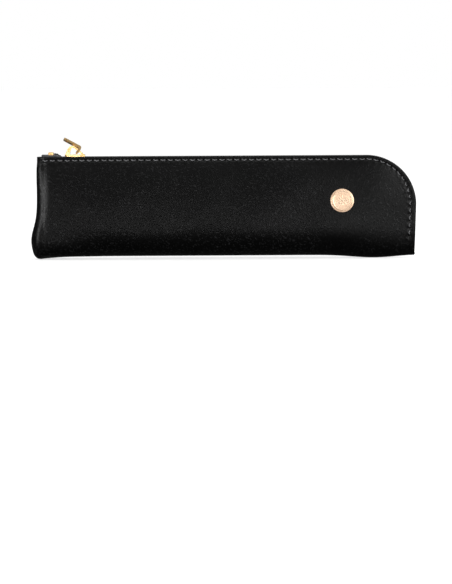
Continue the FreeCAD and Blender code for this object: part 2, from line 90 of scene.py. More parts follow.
# the leather's relief: a height or depth first, then its width or reach
GROOVE, GROOVE_PULL, GROOVE_WIDTH = 0.16, 0.14, 0.5
HOLE, HOLE_WIDTH, HOLE_GROWTH = 0.60, 0.42, 0.22
MARGIN, MARGIN_WIDTH = 0.10, 1.9
PUFF, PUFF_REACH = 0.65, 5.0
PUCKER, PUCKER_DEPTH, PUCKER_WIDTH = 0.10, 1.0, 0.8
END_FALL, END_FALL_REACH = 1.5, 11.0
SKIN_SINK, DEEPEST = 0.42, -0.95
RIPPLES, SHORTEST_RIPPLE, LONGEST_RIPPLE, RIPPLE_SLOPE = 16, 14.0, 46.0, 0.0016
FLAT_ROUND_FOLD = 3.0                      # the relief fades out this near the fold
LINING_RIPPLE = 0.12
RIM_ANGLES, RIM_ROUND, RIM_START = (0.5, 1.1, 1.6, 2.1, 2.6), 0.55, 0.25

# the zip and the seam
SPREAD_START, SPREAD_RUN = 1.5, 4.2        # from the slider's middle: where the rows part, and over what run
LIFT_START, LIFT_RUN = 5.6, 4.5            # and where the free ends rise, and over what run
TAPE_LIFT, ROW_OVERLAP = 0.85, 0.25        # share of the lift that the tape takes; tape behind its coil
TAPE_STEPS, QUICK_TAPE_STEPS = 300, 170
WALL_POINTS, TURN_POINTS = 14, 8           # the tape's section, behind the leather and in its bend
CHAIN_CLEAR, TURN_STEPS = 0.3, 12
STITCH_SAG, STITCH_SLANT, STITCH_R, STITCH_SUNK, STITCH_RISE = 0.62, 0.18, 0.24, -0.55, 0.86
STITCH_SHOWN, STITCH_SHORTER = 0.8, 0.28
TAB_CROWN, TAB_SQUARE, TAB_SIZE = 0.1, 0.28, 0.99        # the end tab's fullness, squareness and size

# the point the lamps face, and which side of the middle each wall lies on
LIGHT_AIM = (0.0, 0.0, 0.03)
SIDES = {"front": -1, "back": 1}


def smooth(t):
    t = np.clip(t, 0.0, 1.0)
    return t * t * (3 - 2 * t)


def fold_z(x):
    """Height of the bottom fold."""
    rise = FOOT_RISE * (1 - np.exp(-np.maximum(0.0, x - X_FOOT) / FOOT_RUN))
    return Z_FOOT + rise - SAG * np.exp(-(((x - SAG_X) / SAG_SPREAD) ** 2))


def end_x(z):
    """Where the end seam lies, with the boxed corner's ear and the rounded foot."""
    z = np.asarray(z, float)
    lean = END_LEAN * (1 - z / Z_TOP)
    ear = EAR * np.exp(-(((z - EAR_Z) / EAR_SPREAD) ** 2))
    under = np.clip(FOOT_R - z, 0.0, FOOT_R)
    return X_END - lean - ear + FOOT_R - np.sqrt(FOOT_R**2 - under**2)


def right_x(z):
    """The sewn edge at the right, below its corner."""
    return X_RIGHT - RIGHT_LEAN * np.clip(1 - np.asarray(z, float) / CORNER_Z, 0.0, 1.0)


def edge_distance(x, z):
    """How far a point of the front view lies inside the sewn edge."""
    dx, dz = x - CORNER_X, z - CORNER_Z
    inside_arc = CORNER_R - np.hypot(dx, dz)
    return np.where((dx > 0) & (dz > 0), inside_arc, np.minimum(Z_TOP - z, right_x(z) - x))


def edge_run(x, z):
    """Length along the sewn edge, from the end seam, of the place nearest to a point of the front view."""
    dx, dz = x - CORNER_X, z - CORNER_Z
    turn = TOP_LENGTH + CORNER_R * np.arctan2(dx, np.maximum(dz, 1e-9))
    down = TOP_LENGTH + ARC_LENGTH + (CORNER_Z - z)
    on_top = (Z_TOP - z) < (X_RIGHT - x)
    run = np.where(on_top, x - X_END, down)
    return np.where((dx > 0) & (dz > 0), turn, run)


def wall_depth(x, z, inset=0.0):
    """Half the depth of the case at a point of the front view, at a skin pushed in by inset."""
    x, z = np.broadcast_arrays(np.asarray(x, float), np.asarray(z, float))
    along = np.clip((x - X_BELLY) / (X_RIGHT - X_BELLY), 0.0, 1.0)
    up = np.clip((z - Z_BELLY) / (Z_TOP - Z_BELLY), 0.0, 1.0)
    depth = HALF_EDGE + (HALF_BELLY - HALF_EDGE) * (1 - along**ALONG_POWER) * (1 - up**UP_POWER) - inset
    turned = np.clip((TURN_X - x) / (TURN_X - end_x(z) - inset), 0.0, 1.0)
    box_share = 1 - smooth((x - TURN_X) / BOX_RUN)
    power = FOLD_POWER + (BOX_POWER - FOLD_POWER) * box_share
    under = np.clip((Z_BELLY - z) / (Z_BELLY - fold_z(x) - inset), 0.0, 1.0)
    return depth * (1 - turned**END_POWER) ** (1 / END_POWER) * (1 - under**power) ** (1 / power)


def edge_point(run, depth=0.0):
    """A point of the front view at a run along the sewn edge and a depth inside it, and how far the edge has
    turned there."""
    if run < TOP_LENGTH:
        return X_END + run, Z_TOP - depth, 0.0
    if run < TOP_LENGTH + ARC_LENGTH:
        angle = (run - TOP_LENGTH) / CORNER_R
        r = CORNER_R - depth
        return CORNER_X + r * math.sin(angle), CORNER_Z + r * math.cos(angle), angle
    z = CORNER_Z - (run - TOP_LENGTH - ARC_LENGTH)
    return float(right_x(z)) - depth, z, math.pi / 2


def spread(x):
    """How far each row of the coil is pushed out from the middle by the slider and behind it."""
    return MESH_GAP + ROW_SPREAD * smooth((SLIDER_X + SPREAD_START - x) / SPREAD_RUN)


def lift(x):
    """How far the free end of the zip stands up behind the slider."""
    return CHAIN_LIFT * smooth((SLIDER_X - LIFT_START - x) / LIFT_RUN)


# ---------------------------------------------------------------- mesh helpers
def new_mesh(name, verts, faces, material, smooth_angle):
    """A shaded mesh piece; edges sharper than smooth_angle, in degrees, stay sharp."""
    mesh = bpy.data.meshes.new(name)
    mesh.from_pydata([tuple(v) for v in verts], [], faces)
    bm = bmesh.new()
    bm.from_mesh(mesh)
    bmesh.ops.remove_doubles(bm, verts=bm.verts, dist=1e-7)
    bmesh.ops.recalc_face_normals(bm, faces=bm.faces)
    bm.to_mesh(mesh)
    bm.free()
    for polygon in mesh.polygons:
        polygon.use_smooth = True
    mesh.set_sharp_from_angle(angle=math.radians(smooth_angle))
    mesh.materials.append(material)
    obj = bpy.data.objects.new(name, mesh)
    bpy.context.scene.collection.objects.link(obj)
    return obj


def ring_grid_faces(columns, ring):
    """Faces of a tube of rings of points, closed round each ring and capped at both ends."""
    faces = []
    for i in range(columns - 1):
        a = i * ring
        b = (i + 1) * ring
        for j in range(ring):
            k = (j + 1) % ring
            faces.append((a + j, b + j, b + k, a + k))
    faces.append(tuple(range(ring)))
    faces.append(tuple((columns - 1) * ring + j for j in reversed(range(ring))))
    return faces


def tube(points, radius, sides):
    """Vertices and faces of a tube along points, with its section's frame carried along."""
    points = [Vector(p) for p in points]
    verts = []
    up = Vector((0.0, 0.0, 1.0))
    for i, point in enumerate(points):
        ahead = points[min(i + 1, len(points) - 1)] - points[max(i - 1, 0)]
        ahead.normalize()
        across = ahead.cross(up)
        if across.length < 0.1:
            across = ahead.cross(Vector((0.0, 1.0, 0.0)))
        across.normalize()
        up = across.cross(ahead).normalized()
        for j in range(sides):
            angle = 2 * math.pi * j / sides
            verts.append(point + across * (radius * math.cos(angle)) + up * (radius * math.sin(angle)))
    return verts, ring_grid_faces(len(points), sides)


def join_parts(parts):
    """One list of vertices and faces from several."""
    verts, faces = [], []
    for part_verts, part_faces in parts:
        first = len(verts)
        verts += list(part_verts)
        faces += [tuple(first + i for i in face) for face in part_faces]
    return verts, faces


def bend_with_mouth(obj):
    """Bake a piece's placement into its mesh and read its vertices' places in millimetres; nothing is blended
    or bent.
    """
    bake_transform(obj)
    places = np.empty(len(obj.data.vertices) * 3)
    obj.data.vertices.foreach_get("co", places)
    places = places.reshape(-1, 3) / MM


# ---------------------------------------------------------------- materials
class Nodes:
    """Short calls for building a node material."""

    def __init__(self, name):
        self.material = bpy.data.materials.new(name)
        self.material.use_nodes = True
        self.tree = self.material.node_tree
        self.shader = self.tree.nodes["Principled BSDF"]
        self.place = self.add("ShaderNodeTexCoord").outputs["Object"]

    def add(self, kind, **settings):
        node = self.tree.nodes.new(kind)
        for key, value in settings.items():
            setattr(node, key, value)
        return node

    def link(self, source, target):
        self.tree.links.new(source, target)

    def mapped(self, scale, rotation=(0.0, 0.0, 0.0)):
        node = self.add("ShaderNodeMapping")
        node.inputs["Scale"].default_value = scale
        node.inputs["Rotation"].default_value = rotation
        self.link(self.place, node.inputs["Vector"])
        return node.outputs["Vector"]

    def stretched(self, scale, rotation, source):
        """Space turned and then drawn out along its own axes."""
        node = self.add("ShaderNodeMapping", vector_type="TEXTURE")
        node.inputs["Scale"].default_value = scale
        node.inputs["Rotation"].default_value = rotation
        self.link(source, node.inputs["Vector"])
        return node.outputs["Vector"]

    def mixed(self, factor, first, second):
        node = self.add("ShaderNodeMix", data_type="FLOAT")
        self.link(factor, node.inputs["Factor"])
        self.link(first, node.inputs["A"])
        self.link(second, node.inputs["B"])
        return node.outputs["Result"]

    def noise(self, source, scale, detail=3.0, roughness=0.5):
        node = self.add("ShaderNodeTexNoise")
        node.inputs["Scale"].default_value = scale
        node.inputs["Detail"].default_value = detail
        node.inputs["Roughness"].default_value = roughness
        self.link(source, node.inputs["Vector"])
        return node

    def cell_edges(self, source, scale):
        """Distance to the nearest edge between irregular cells."""
        node = self.add("ShaderNodeTexVoronoi", feature="DISTANCE_TO_EDGE")
        node.inputs["Scale"].default_value = scale
        self.link(source, node.inputs["Vector"])
        return node.outputs["Distance"]

    def math(self, operation, a, b):
        node = self.add("ShaderNodeMath", operation=operation)
        for socket, value in zip(node.inputs, (a, b)):
            if isinstance(value, (int, float)):
                socket.default_value = value
            else:
                self.link(value, socket)
        return node.outputs[0]

    def ramp(self, source, low, high, from_min=0.0, from_max=1.0):
        node = self.add("ShaderNodeMapRange")
        node.inputs["From Min"].default_value = from_min
        node.inputs["From Max"].default_value = from_max
        node.inputs["To Min"].default_value = low
        node.inputs["To Max"].default_value = high
        self.link(source, node.inputs["Value"])
        return node.outputs["Result"]

    def colour(self, factor, first, second):
        node = self.add("ShaderNodeMix", data_type="RGBA")
        node.inputs["A"].default_value = (*first, 1.0)
        node.inputs["B"].default_value = (*second, 1.0)
        self.link(factor, node.inputs["Factor"])
        self.link(node.outputs["Result"], self.shader.inputs["Base Color"])

    def bump(self, height, distance, strength):
        node = self.add("ShaderNodeBump")
        node.inputs["Distance"].default_value = distance
        node.inputs["Strength"].default_value = strength
        self.link(height, node.inputs["Height"])
        self.link(node.outputs["Normal"], self.shader.inputs["Normal"])

    def set(self, **values):
        for key, value in values.items():
            self.shader.inputs[key.replace("_", " ")].default_value = value
        return self.material


def leather_material():
    """Black pebbled leather: long pebbles with creases between them. They lean one way along most of the
    case, and the other way towards its right end."""
    n = Nodes("pebbled_leather")
    drift = n.noise(n.place, 90.0, 1.0)
    warp = n.add("ShaderNodeVectorMath", operation="SCALE")
    warp.inputs["Scale"].default_value = 0.0030
    n.link(drift.outputs["Color"], warp.inputs[0])
    moved = n.add("ShaderNodeVectorMath", operation="ADD")
    n.link(n.place, moved.inputs[0])
    n.link(warp.outputs["Vector"], moved.inputs[1])
    moved = moved.outputs["Vector"]
    layers = []
    for lean in (38.0, -48.0):
        place = n.stretched((2.1, 1.0, 1.0), (0.0, math.radians(lean), 0.0), moved)
        folds = n.noise(place, 900.0, 0.6, 0.45)
        off_crest = n.math("ABSOLUTE", n.math("SUBTRACT", folds.outputs["Fac"], 0.5), 0.0)
        ridge = n.ramp(off_crest, 1.0, 0.0, 0.0, 0.10)
        edges = n.cell_edges(place, 760.0)
        layers.append(n.math("MULTIPLY", ridge, n.ramp(edges, 0.05, 1.0, 0.0, 0.20)))
    along = n.add("ShaderNodeSeparateXYZ")
    n.link(n.place, along.inputs[0])
    towards_right = n.ramp(along.outputs["X"], 0.0, 1.0, 0.045, 0.075)
    pebbles = n.mixed(towards_right, *layers)
    pores = n.noise(n.place, 4200.0, 2.0)
    height = n.math("ADD", pebbles, n.math("MULTIPLY", pores.outputs["Fac"], 0.015))
    n.bump(height, 0.00005, 1.0)
    # Painted highlight and shade: the pebbles' crests are painted lighter, standing for glints, and the
    # creases between them near black, as painted shade. A slow random tone varies the crests.
    shade = n.noise(n.place, 30.0, 3.0)
    crest = n.math("POWER", pebbles, 3.4)
    painted_crest_glints = n.math("MULTIPLY", crest, n.ramp(shade.outputs["Fac"], 0.6, 1.2, 0.3, 0.7))
    n.colour(painted_crest_glints, (0.0001, 0.0001, 0.0001), (0.0125, 0.0125, 0.0130))
    n.link(n.ramp(pebbles, 0.40, 0.24), n.shader.inputs["Roughness"])
    return n.set(Specular_IOR_Level=0.20)


def weave_material(name, dark, light, pitch, bump):
    """Plain woven cloth: two crossed sets of ribs."""
    n = Nodes(name)
    ribs = []
    for rotation in ((0.0, 0.0, 0.0), (0.0, math.radians(90), 0.0)):
        wave = n.add("ShaderNodeTexWave", bands_direction="X")
        wave.inputs["Scale"].default_value = 2 * math.pi / (pitch * 20)
        wave.inputs["Distortion"].default_value = 0.6
        wave.inputs["Detail"].default_value = 1.0
        n.link(n.mapped((1.0, 1.0, 1.0), rotation), wave.inputs["Vector"])
        ribs.append(wave.outputs["Fac"])
    weave = n.math("MULTIPLY", *ribs)
    fuzz = n.noise(n.place, 2500.0, 3.0)
    height = n.math("ADD", weave, n.math("MULTIPLY", fuzz.outputs["Fac"], 0.4))
    n.bump(height, bump, 0.8)
    n.colour(height, dark, light)
    return n.set(Roughness=0.85, Sheen_Weight=0.25, Sheen_Roughness=0.5)


def plastic_material():
    n = Nodes("nylon_coil")
    streaks = n.noise(n.place, 1500.0, 2.0)
    n.bump(streaks.outputs["Fac"], 0.00003, 0.6)
    n.colour(streaks.outputs["Fac"], (0.006, 0.006, 0.006), (0.014, 0.014, 0.015))
    n.link(n.ramp(streaks.outputs["Fac"], 0.25, 0.4), n.shader.inputs["Roughness"])
    return n.set(Specular_IOR_Level=0.5)


def thread_material():
    n = Nodes("waxed_thread")
    twist = n.add("ShaderNodeTexWave", bands_direction="DIAGONAL")
    twist.inputs["Scale"].default_value = 900.0
    twist.inputs["Distortion"].default_value = 1.0
    n.link(n.place, twist.inputs["Vector"])
    n.bump(twist.outputs["Fac"], 0.00008, 0.8)
    n.colour(twist.outputs["Fac"], (0.03, 0.03, 0.032), (0.11, 0.11, 0.115))
    return n.set(Roughness=0.5, Sheen_Weight=0.2)


def metal_material(name, bright, dull, rough_low, rough_high, metallic):
    """Plated metal, clouded by handling and finely scratched."""
    n = Nodes(name)
    cloud = n.noise(n.place, 260.0, 4.0)
    fine = n.noise(n.mapped((1.0, 4.0, 1.0)), 3200.0, 2.0)
    n.bump(fine.outputs["Fac"], SCRATCH, 0.5)
    n.colour(n.ramp(cloud.outputs["Fac"], 0.0, 1.0, 0.35, 0.7), bright, dull)
    n.link(n.ramp(cloud.outputs["Fac"], rough_low, rough_high, 0.3, 0.7), n.shader.inputs["Roughness"])
    return n.set(Metallic=metallic)


LEATHER_MAT = leather_material()
TAPE_MAT = weave_material("woven_tape", (0.006, 0.006, 0.007), (0.022, 0.022, 0.024), 0.0006, 0.00012)
LINING_MAT = weave_material("lining_cloth", (0.012, 0.012, 0.014), (0.035, 0.035, 0.038), 0.0005, 0.00008)
COIL_MAT = plastic_material()
THREAD_MAT = thread_material()
GOLD_MAT = metal_material("gold_plate", (0.95, 0.68, 0.32), (0.80, 0.50, 0.20), 0.12, 0.26, 0.9)
ROSE_MAT = metal_material("rose_gold_plate", (0.84, 0.61, 0.43), (0.76, 0.52, 0.35), 0.24, 0.38, 0.6)


# ---------------------------------------------------------------- leather
def column_lines(step):
    """The lines that cover one wall, each from the sewn edge down to the fold: a share of the turn round the
    left end, then straight lines, then a fan into the lower right corner."""
    lines = []
    for i in range(TURN_LINES):
        turn = math.pi / 2 * (1 - i / TURN_LINES)
        lines.append(("turn", math.sin(turn) ** (2 / END_POWER)))
    run = TURN_X - X_END
    last = TOP_LENGTH + ARC_LENGTH + CORNER_Z - LAST_LINE_Z
    count = round((last - run) / step)
    fan_run = FAN_X - X_END
    for i in range(count + 1):
        s = run + (last - run) * i / count
        x, z, _ = edge_point(s)
        share = max(0.0, (s - fan_run) / (last - fan_run))
        foot = x
        if s >= fan_run:
            foot = FAN_X + (X_RIGHT - RIGHT_LEAN - FAN_X) * (1 - (1 - share) ** FAN_POWER)
        lines.append(("line", x, z, foot))
    return lines


def row_shares():
    """Where the rows lie along a line from the sewn edge to the fold, finer near the edge."""
    near = [NEAR_ROW * i for i in range(13)]
    middle = [NEAR_DEPTH + MIDDLE_ROW * i for i in range(1, 10)]
    far = list(np.linspace(middle[-1], WALL_LENGTH, 46)[1:])
    return np.array(near + middle + far) / WALL_LENGTH


def wall_grid(lines, inset, shares):
    """Points of one wall as columns of rows, in millimetres, for the back side."""
    grid = []
    fine = 1 - (1 - np.linspace(0.0, 1.0, SAMPLES_DOWN)) ** 2
    for line in lines:
        if line[0] == "turn":
            z = Z_TOP + (fold_z(X_FOOT) + inset - Z_TOP) * fine
            x = TURN_X - (TURN_X - end_x(np.maximum(z, 0.0)) - inset) * line[1]
            low = fold_z(x) + inset
            z = Z_TOP + (low - Z_TOP) * fine
            x = TURN_X - (TURN_X - end_x(np.maximum(z, 0.0)) - inset) * line[1]
        else:
            _, x_top, z_top, x_foot = line
            z_foot = float(fold_z(x_foot)) + inset
            x = x_top + (x_foot - x_top) * fine
            z = z_top + (z_foot - z_top) * fine
        y = wall_depth(x, z, inset)
        y[-1] = 0.0
        points = np.stack([x, y, z], 1)
        lengths = np.concatenate([[0.0], np.cumsum(np.linalg.norm(np.diff(points, axis=0), axis=1))])
        wanted = shares * lengths[-1]
        grid.append(np.stack([np.interp(wanted, lengths, points[:, k]) for k in range(3)], 1))
    return np.array(grid)


def grid_normals(grid):
    """Outward directions of a back wall's grid."""
    along = np.gradient(grid, axis=0)
    down = np.gradient(grid, axis=1)
    normal = np.cross(along, down)
    length = np.linalg.norm(normal, axis=2, keepdims=True)
    normal = np.where(length > 1e-9, normal / np.maximum(length, 1e-9), 0.0)
    flip = np.sign(np.sum(normal * np.array([0.0, 1.0, 0.0]), axis=2, keepdims=True))
    flip[flip == 0] = 1.0
    return normal * np.sign(np.median(flip))


def stitch_runs():
    """Runs along the sewn edge of the middle of each stitch."""
    first = STITCH_FIRST_X - X_END
    last = TOP_LENGTH + ARC_LENGTH + CORNER_Z - STITCH_LAST_Z
    count = round((last - first) / STITCH_PITCH)
    return [first + (i + 0.5) * (last - first) / count for i in range(count)], (last - first) / count


def stitch_depth(run):
    """The seam lies a little further in where it comes down the right end."""
    return STITCH_DEPTH + STITCH_DRIFT * smooth((run - TOP_LENGTH) / ARC_LENGTH)


def softness(x, z, seed):
    """Low waves left by handling, from a few random ripples."""
    rng = random.Random(seed)
    total = np.zeros_like(x)
    for _ in range(RIPPLES):
        wavelength = rng.uniform(SHORTEST_RIPPLE, LONGEST_RIPPLE)
        angle = rng.uniform(0.0, math.pi)
        phase = rng.uniform(0.0, 2 * math.pi)
        size = RIPPLE_SLOPE * wavelength
        total += size * np.sin(2 * math.pi * (x * math.cos(angle) + z * math.sin(angle)) / wavelength + phase)
    return total


def leather_relief(x, z, side_name):
    """Height of the leather over its plain skin: margin, stitch groove and holes, puffed edge, soft waves."""
    d = edge_distance(x, z)
    run = edge_run(x, z)
    runs, pitch = stitch_runs()
    inside = (run > runs[0] - pitch) & (run < runs[-1] + pitch)
    phase = (run - runs[0]) / pitch
    pull = 0.5 + 0.5 * np.cos(2 * math.pi * (phase - 0.5))
    seam = d - stitch_depth(run)
    groove = (GROOVE + GROOVE_PULL * pull) * np.exp(-((seam / GROOVE_WIDTH) ** 2)) * inside
    width = HOLE_WIDTH + HOLE_GROWTH * smooth((run - TOP_LENGTH) / ARC_LENGTH)
    hole = HOLE * np.exp(-((seam / width) ** 2)) * pull**4 * inside
    margin = MARGIN * np.sin(math.pi * np.clip(d / MARGIN_WIDTH, 0, 1))
    rise = PUFF * (1 - np.exp(-np.maximum(0.0, seam) / PUFF_REACH))
    rise += PUCKER * (1 - pull) * np.exp(-(((seam - PUCKER_DEPTH) / PUCKER_WIDTH) ** 2)) * inside
    fade = smooth(d / 6.0) * smooth((z - 3.0) / 8.0)
    waves = softness(x, z, SEED + SIDES[side_name]) * fade
    end_fall = END_FALL * np.exp(-(x - X_END) / END_FALL_REACH) * smooth(d / 5.0) * smooth((x - X_END) / 4.0)
    return np.maximum(margin + rise - groove - hole + waves - end_fall - SKIN_SINK, DEEPEST)


def leather_wall(side_name, side):
    """One wall of the body: a closed sheet with a rounded edge at the zip."""
    lines = column_lines(LINE_STEP)
    shares = row_shares()
    outer = wall_grid(lines, 0.0, shares)
    inner = wall_grid(lines, LEATHER, shares[::3])
    normals = grid_normals(outer)
    relief = leather_relief(outer[:, :, 0], outer[:, :, 2], side_name)
    near_fold = smooth(outer[:, :, 1] / FLAT_ROUND_FOLD)
    outer = outer + normals * (relief * near_fold)[:, :, None]
    rings = []
    for out_column, in_column in zip(outer, inner):
        edge_out, edge_in = out_column[0], in_column[0]
        middle, half = (edge_out + edge_in) / 2, (edge_out - edge_in) / 2
        inward = out_column[1] - out_column[0]
        inward = inward / max(np.linalg.norm(inward), 1e-9)
        radius = np.linalg.norm(half)
        rim = [middle - half * math.cos(a) - inward * radius * RIM_ROUND * math.sin(a) for a in RIM_ANGLES]
        rim = [point + inward * radius * RIM_ROUND for point in rim]
        start = middle + half * math.cos(RIM_START) + inward * 0.05
        rings.append(np.array([*in_column[::-1], *rim, start, *out_column[2:]]))
    rings = np.array(rings)
    rings[:, :, 1] *= side
    verts = rings.reshape(-1, 3) * MM
    faces = ring_grid_faces(rings.shape[0], rings.shape[1])
    wall = new_mesh(f"leather_{side_name}", verts, faces, LEATHER_MAT, 60.0)
    bend_with_mouth(wall)
    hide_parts("leather_body", f"leather_lip_{side_name}")


# ---------------------------------------------------------------- zip, stitching and lining
def section_ring(run, centre, thickness, side):
    """A strip's section at a run along the sewn edge, from its middle line of depths and half depths."""
    centre = np.array(centre)
    ahead = np.gradient(centre, axis=0)
    ahead /= np.linalg.norm(ahead, axis=1, keepdims=True)
    across = np.stack([-ahead[:, 1], ahead[:, 0]], 1) * thickness / 2
    loop = [*(centre + across), *(centre - across)[::-1]]
    ring = []
    for depth, y in loop:
        x, z, _ = edge_point(run, depth)
        ring.append((x * MM, side * y * MM, z * MM))
    return ring


def tape_line(run):
    """The tape's middle line at a run: up behind the leather, over in a bend, and across to its coil row."""
    x_edge = edge_point(run)[0]
    line = []
    for depth in np.linspace(TAPE_DEPTH, TAPE_TURN, WALL_POINTS):
        x, z, _ = edge_point(run, depth)
        line.append((depth, float(wall_depth(x, z, LEATHER + GAP + TAPE / 2))))
    y_wall = line[-1][1]
    web = CHAIN_DEPTH - TAPE_LIFT * float(lift(x_edge))
    y_row = COIL_REACH + float(spread(x_edge)) - ROW_OVERLAP
    for t in np.linspace(0.0, 1.0, TURN_POINTS)[1:]:
        depth = (1 - t) ** 2 * TAPE_TURN + (1 - (1 - t) ** 2) * web
        y = (1 - t * t) * y_wall + t * t * y_row
        line.append((depth, y))
    return line


def tape(side_name, side):
    """One woven tape, sewn behind the leather."""
    first = TAPE_FIRST_X - X_END
    last = TOP_LENGTH + ARC_LENGTH + CORNER_Z - CHAIN_LAST_Z
    runs = np.linspace(first, last, TAPE_STEPS)
    rings = [section_ring(run, tape_line(run), TAPE, side) for run in runs]
    verts = [point for ring in rings for point in ring]
    piece = new_mesh(f"tape_{side_name}", verts, ring_grid_faces(len(rings), len(rings[0])), TAPE_MAT, 40.0)
    bend_with_mouth(piece)
    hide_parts(*(f"tape_{side_name}_{stretch}" for stretch in ("left", "lip", "right")))


def coil(side_name, side):
    """One row of the coil: a filament wound in a flattened helix, half a turn out of step with the other."""
    first = CHAIN_FIRST_X - X_END + CHAIN_CLEAR
    last = TOP_LENGTH + ARC_LENGTH + CORNER_Z - CHAIN_LAST_Z - CHAIN_CLEAR
    turns = round((last - first) / COIL_PITCH)
    offset = 0.0 if side > 0 else math.pi
    path = []
    for i in range(turns * TURN_STEPS + 1):
        angle = 2 * math.pi * i / TURN_STEPS + offset
        run = first + (last - first) * i / (turns * TURN_STEPS)
        x_edge = edge_point(run)[0]
        y = COIL_MIDDLE + COIL_SWING * math.cos(angle) + float(spread(x_edge))
        x, z, _ = edge_point(run, CHAIN_DEPTH - COIL_RISE * math.sin(angle) - float(lift(x_edge)))
        path.append((x * MM, side * y * MM, z * MM))
    verts, faces = tube(path, FILAMENT_R * MM, 8)
    piece = new_mesh(f"coil_{side_name}", verts, faces, COIL_MAT, 70.0)
    bend_with_mouth(piece)
    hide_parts(*(f"coil_{side_name}_{stretch}" for stretch in ("left", "lip", "right")))


def stitching(side_name, side):
    """The seam along the sewn edge: slanting stitches that sink into their holes at both ends."""
    rng = random.Random(SEED + 20 + side)
    runs, pitch = stitch_runs()
    parts = []
    for run in runs:
        sag = STITCH_SAG * rng.uniform(0.8, 1.15)
        slack = rng.uniform(-0.04, 0.05)
        shown = STITCH_SHOWN - STITCH_SHORTER * float(smooth((run - TOP_LENGTH) / ARC_LENGTH))
        path = []
        for t in np.linspace(-0.5, 0.5, 11):
            depth = float(stitch_depth(run)) + sag * (0.5 - abs(2 * t)) + STITCH_SLANT * t
            x, z, _ = edge_point(run + t * pitch * shown, depth)
            skin = float(wall_depth(x, z) + leather_relief(np.array(x), np.array(z), side_name))
            above = STITCH_SUNK
            if abs(t) < 0.499:
                above += (STITCH_RISE + slack) * math.cos(math.pi * t) ** 0.55
            path.append((x * MM, side * (skin + above) * MM, z * MM))
        parts.append(tube(path, STITCH_R * MM, 8))
    piece = new_mesh(f"stitching_{side_name}", *join_parts(parts), THREAD_MAT, 60.0)
    bend_with_mouth(piece)
    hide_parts(*(f"stitch_{side_name}_{stretch}" for stretch in ("left", "lip", "right")))


def lining(side_name, side):
    """Cloth lining of one wall, hanging a little loose from the tape down to the fold."""
    lines = column_lines(LINING_STEP)
    shares = row_shares()
    inset = LEATHER + TAPE + 2 * GAP
    skin = wall_grid(lines, inset, shares)
    first = int(np.searchsorted(shares * WALL_LENGTH, LINING_DEPTH))
    skin = skin[:, first:]
    inner = wall_grid(lines, inset + LINING, shares)[:, first:]
    loose = smooth((skin[:, :, 2] - 3.0) / 9.0) * smooth((Z_TOP - LINING_DEPTH - skin[:, :, 2]) / 5.0)
    ripple = LINING_RIPPLE * softness(skin[:, :, 0] * 3.0, skin[:, :, 2] * 0.9, SEED + 40 + side) * loose
    inner[:, :, 1] -= np.abs(ripple)
    skin[:, :, 1] -= np.abs(ripple)
    rings = np.concatenate([skin, inner[:, ::-1]], axis=1)
    rings[:, :, 1] = side * np.maximum(rings[:, :, 1], 0.0)
    verts = rings.reshape(-1, 3) * MM
    piece = new_mesh(f"lining_{side_name}", verts, ring_grid_faces(*rings.shape[:2]), LINING_MAT, 50.0)
    bend_with_mouth(piece)
    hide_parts(*(["lining_body"] if side < 0 else []), f"lining_lip_{side_name}")


def end_tab():
    """The doubled leather tab across the left end of the zip, with rounded, slightly crowned faces."""
    low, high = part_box("end_tab")
    low, high = Vector(low), Vector(high)
    middle, half = (low + high) / 2, (high - low) / 2
    bm = bmesh.new()
    bmesh.ops.create_cube(bm, size=2.0)
    bmesh.ops.subdivide_edges(bm, edges=bm.edges, cuts=7, use_grid_fill=True)
    for vert in bm.verts:
        rounded = vert.co.normalized() * vert.co.length ** TAB_CROWN
        box_like = Vector([math.copysign(abs(c) ** TAB_SQUARE, c) for c in rounded])
        vert.co = middle + Vector([h * c * TAB_SIZE for h, c in zip(half, box_like)])
    mesh = bpy.data.meshes.new("end_tab_leather")
    bm.to_mesh(mesh)
    bm.free()
    for polygon in mesh.polygons:
        polygon.use_smooth = True
    mesh.materials.append(LEATHER_MAT)
    piece = bpy.data.objects.new("end_tab_leather", mesh)
    bpy.context.scene.collection.objects.link(piece)
    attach(piece, "case")
    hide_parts("end_tab")


# ---------------------------------------------------------------- badge and other hardware
def badge_axes():
    """The badge's place on the front skin, its outward direction and two directions across its face."""
    step = 0.5
    y = float(wall_depth(BADGE_X, BADGE_Z))
    slope_x = float(wall_depth(BADGE_X + step, BADGE_Z) - wall_depth(BADGE_X - step, BADGE_Z)) / (2 * step)
    slope_z = float(wall_depth(BADGE_X, BADGE_Z + step) - wall_depth(BADGE_X, BADGE_Z - step)) / (2 * step)
    outward = Vector((-slope_x, -1.0, -slope_z)).normalized()
    right = Vector((1.0, 0.0, 0.0))
    right = (right - outward * right.dot(outward)).normalized()
    return Vector((BADGE_X, -y, BADGE_Z)), outward, right, right.cross(outward).normalized() * -1


def turned(profile, sides=96):
    """A turned part on the badge's axis, from its profile of radii and heights, closed at both ends."""
    centre, outward, right, up = badge_axes()
    verts = []
    for radius, height in profile:
        for i in range(sides):
            angle = 2 * math.pi * i / sides
            across = right * (radius * math.cos(angle)) + up * (radius * math.sin(angle))
            verts.append((centre + outward * height + across) * MM)
    return verts, ring_grid_faces(len(profile), sides)


def petal(angle, reach, start, width, height, base):
    """A low pointed dome on the badge's face."""
    centre, outward, right, up = badge_axes()
    ahead = right * math.cos(angle) + up * math.sin(angle)
    aside = outward.cross(ahead)
    rows, sides = 9, 9
    verts = []
    for i in range(rows):
        t = 0.02 + 0.96 * i / (rows - 1)
        half = width * math.sin(math.pi * t) ** 0.8
        for j in range(sides):
            turn = math.pi * j / (sides - 1)
            rise = height * math.sin(turn) * math.sin(math.pi * t) ** 0.5
            place = ahead * (start + (reach - start) * t) + aside * (half * math.cos(turn))
            verts.append((centre + place + outward * (base + rise)) * MM)
    return verts, ring_grid_faces(rows, sides)


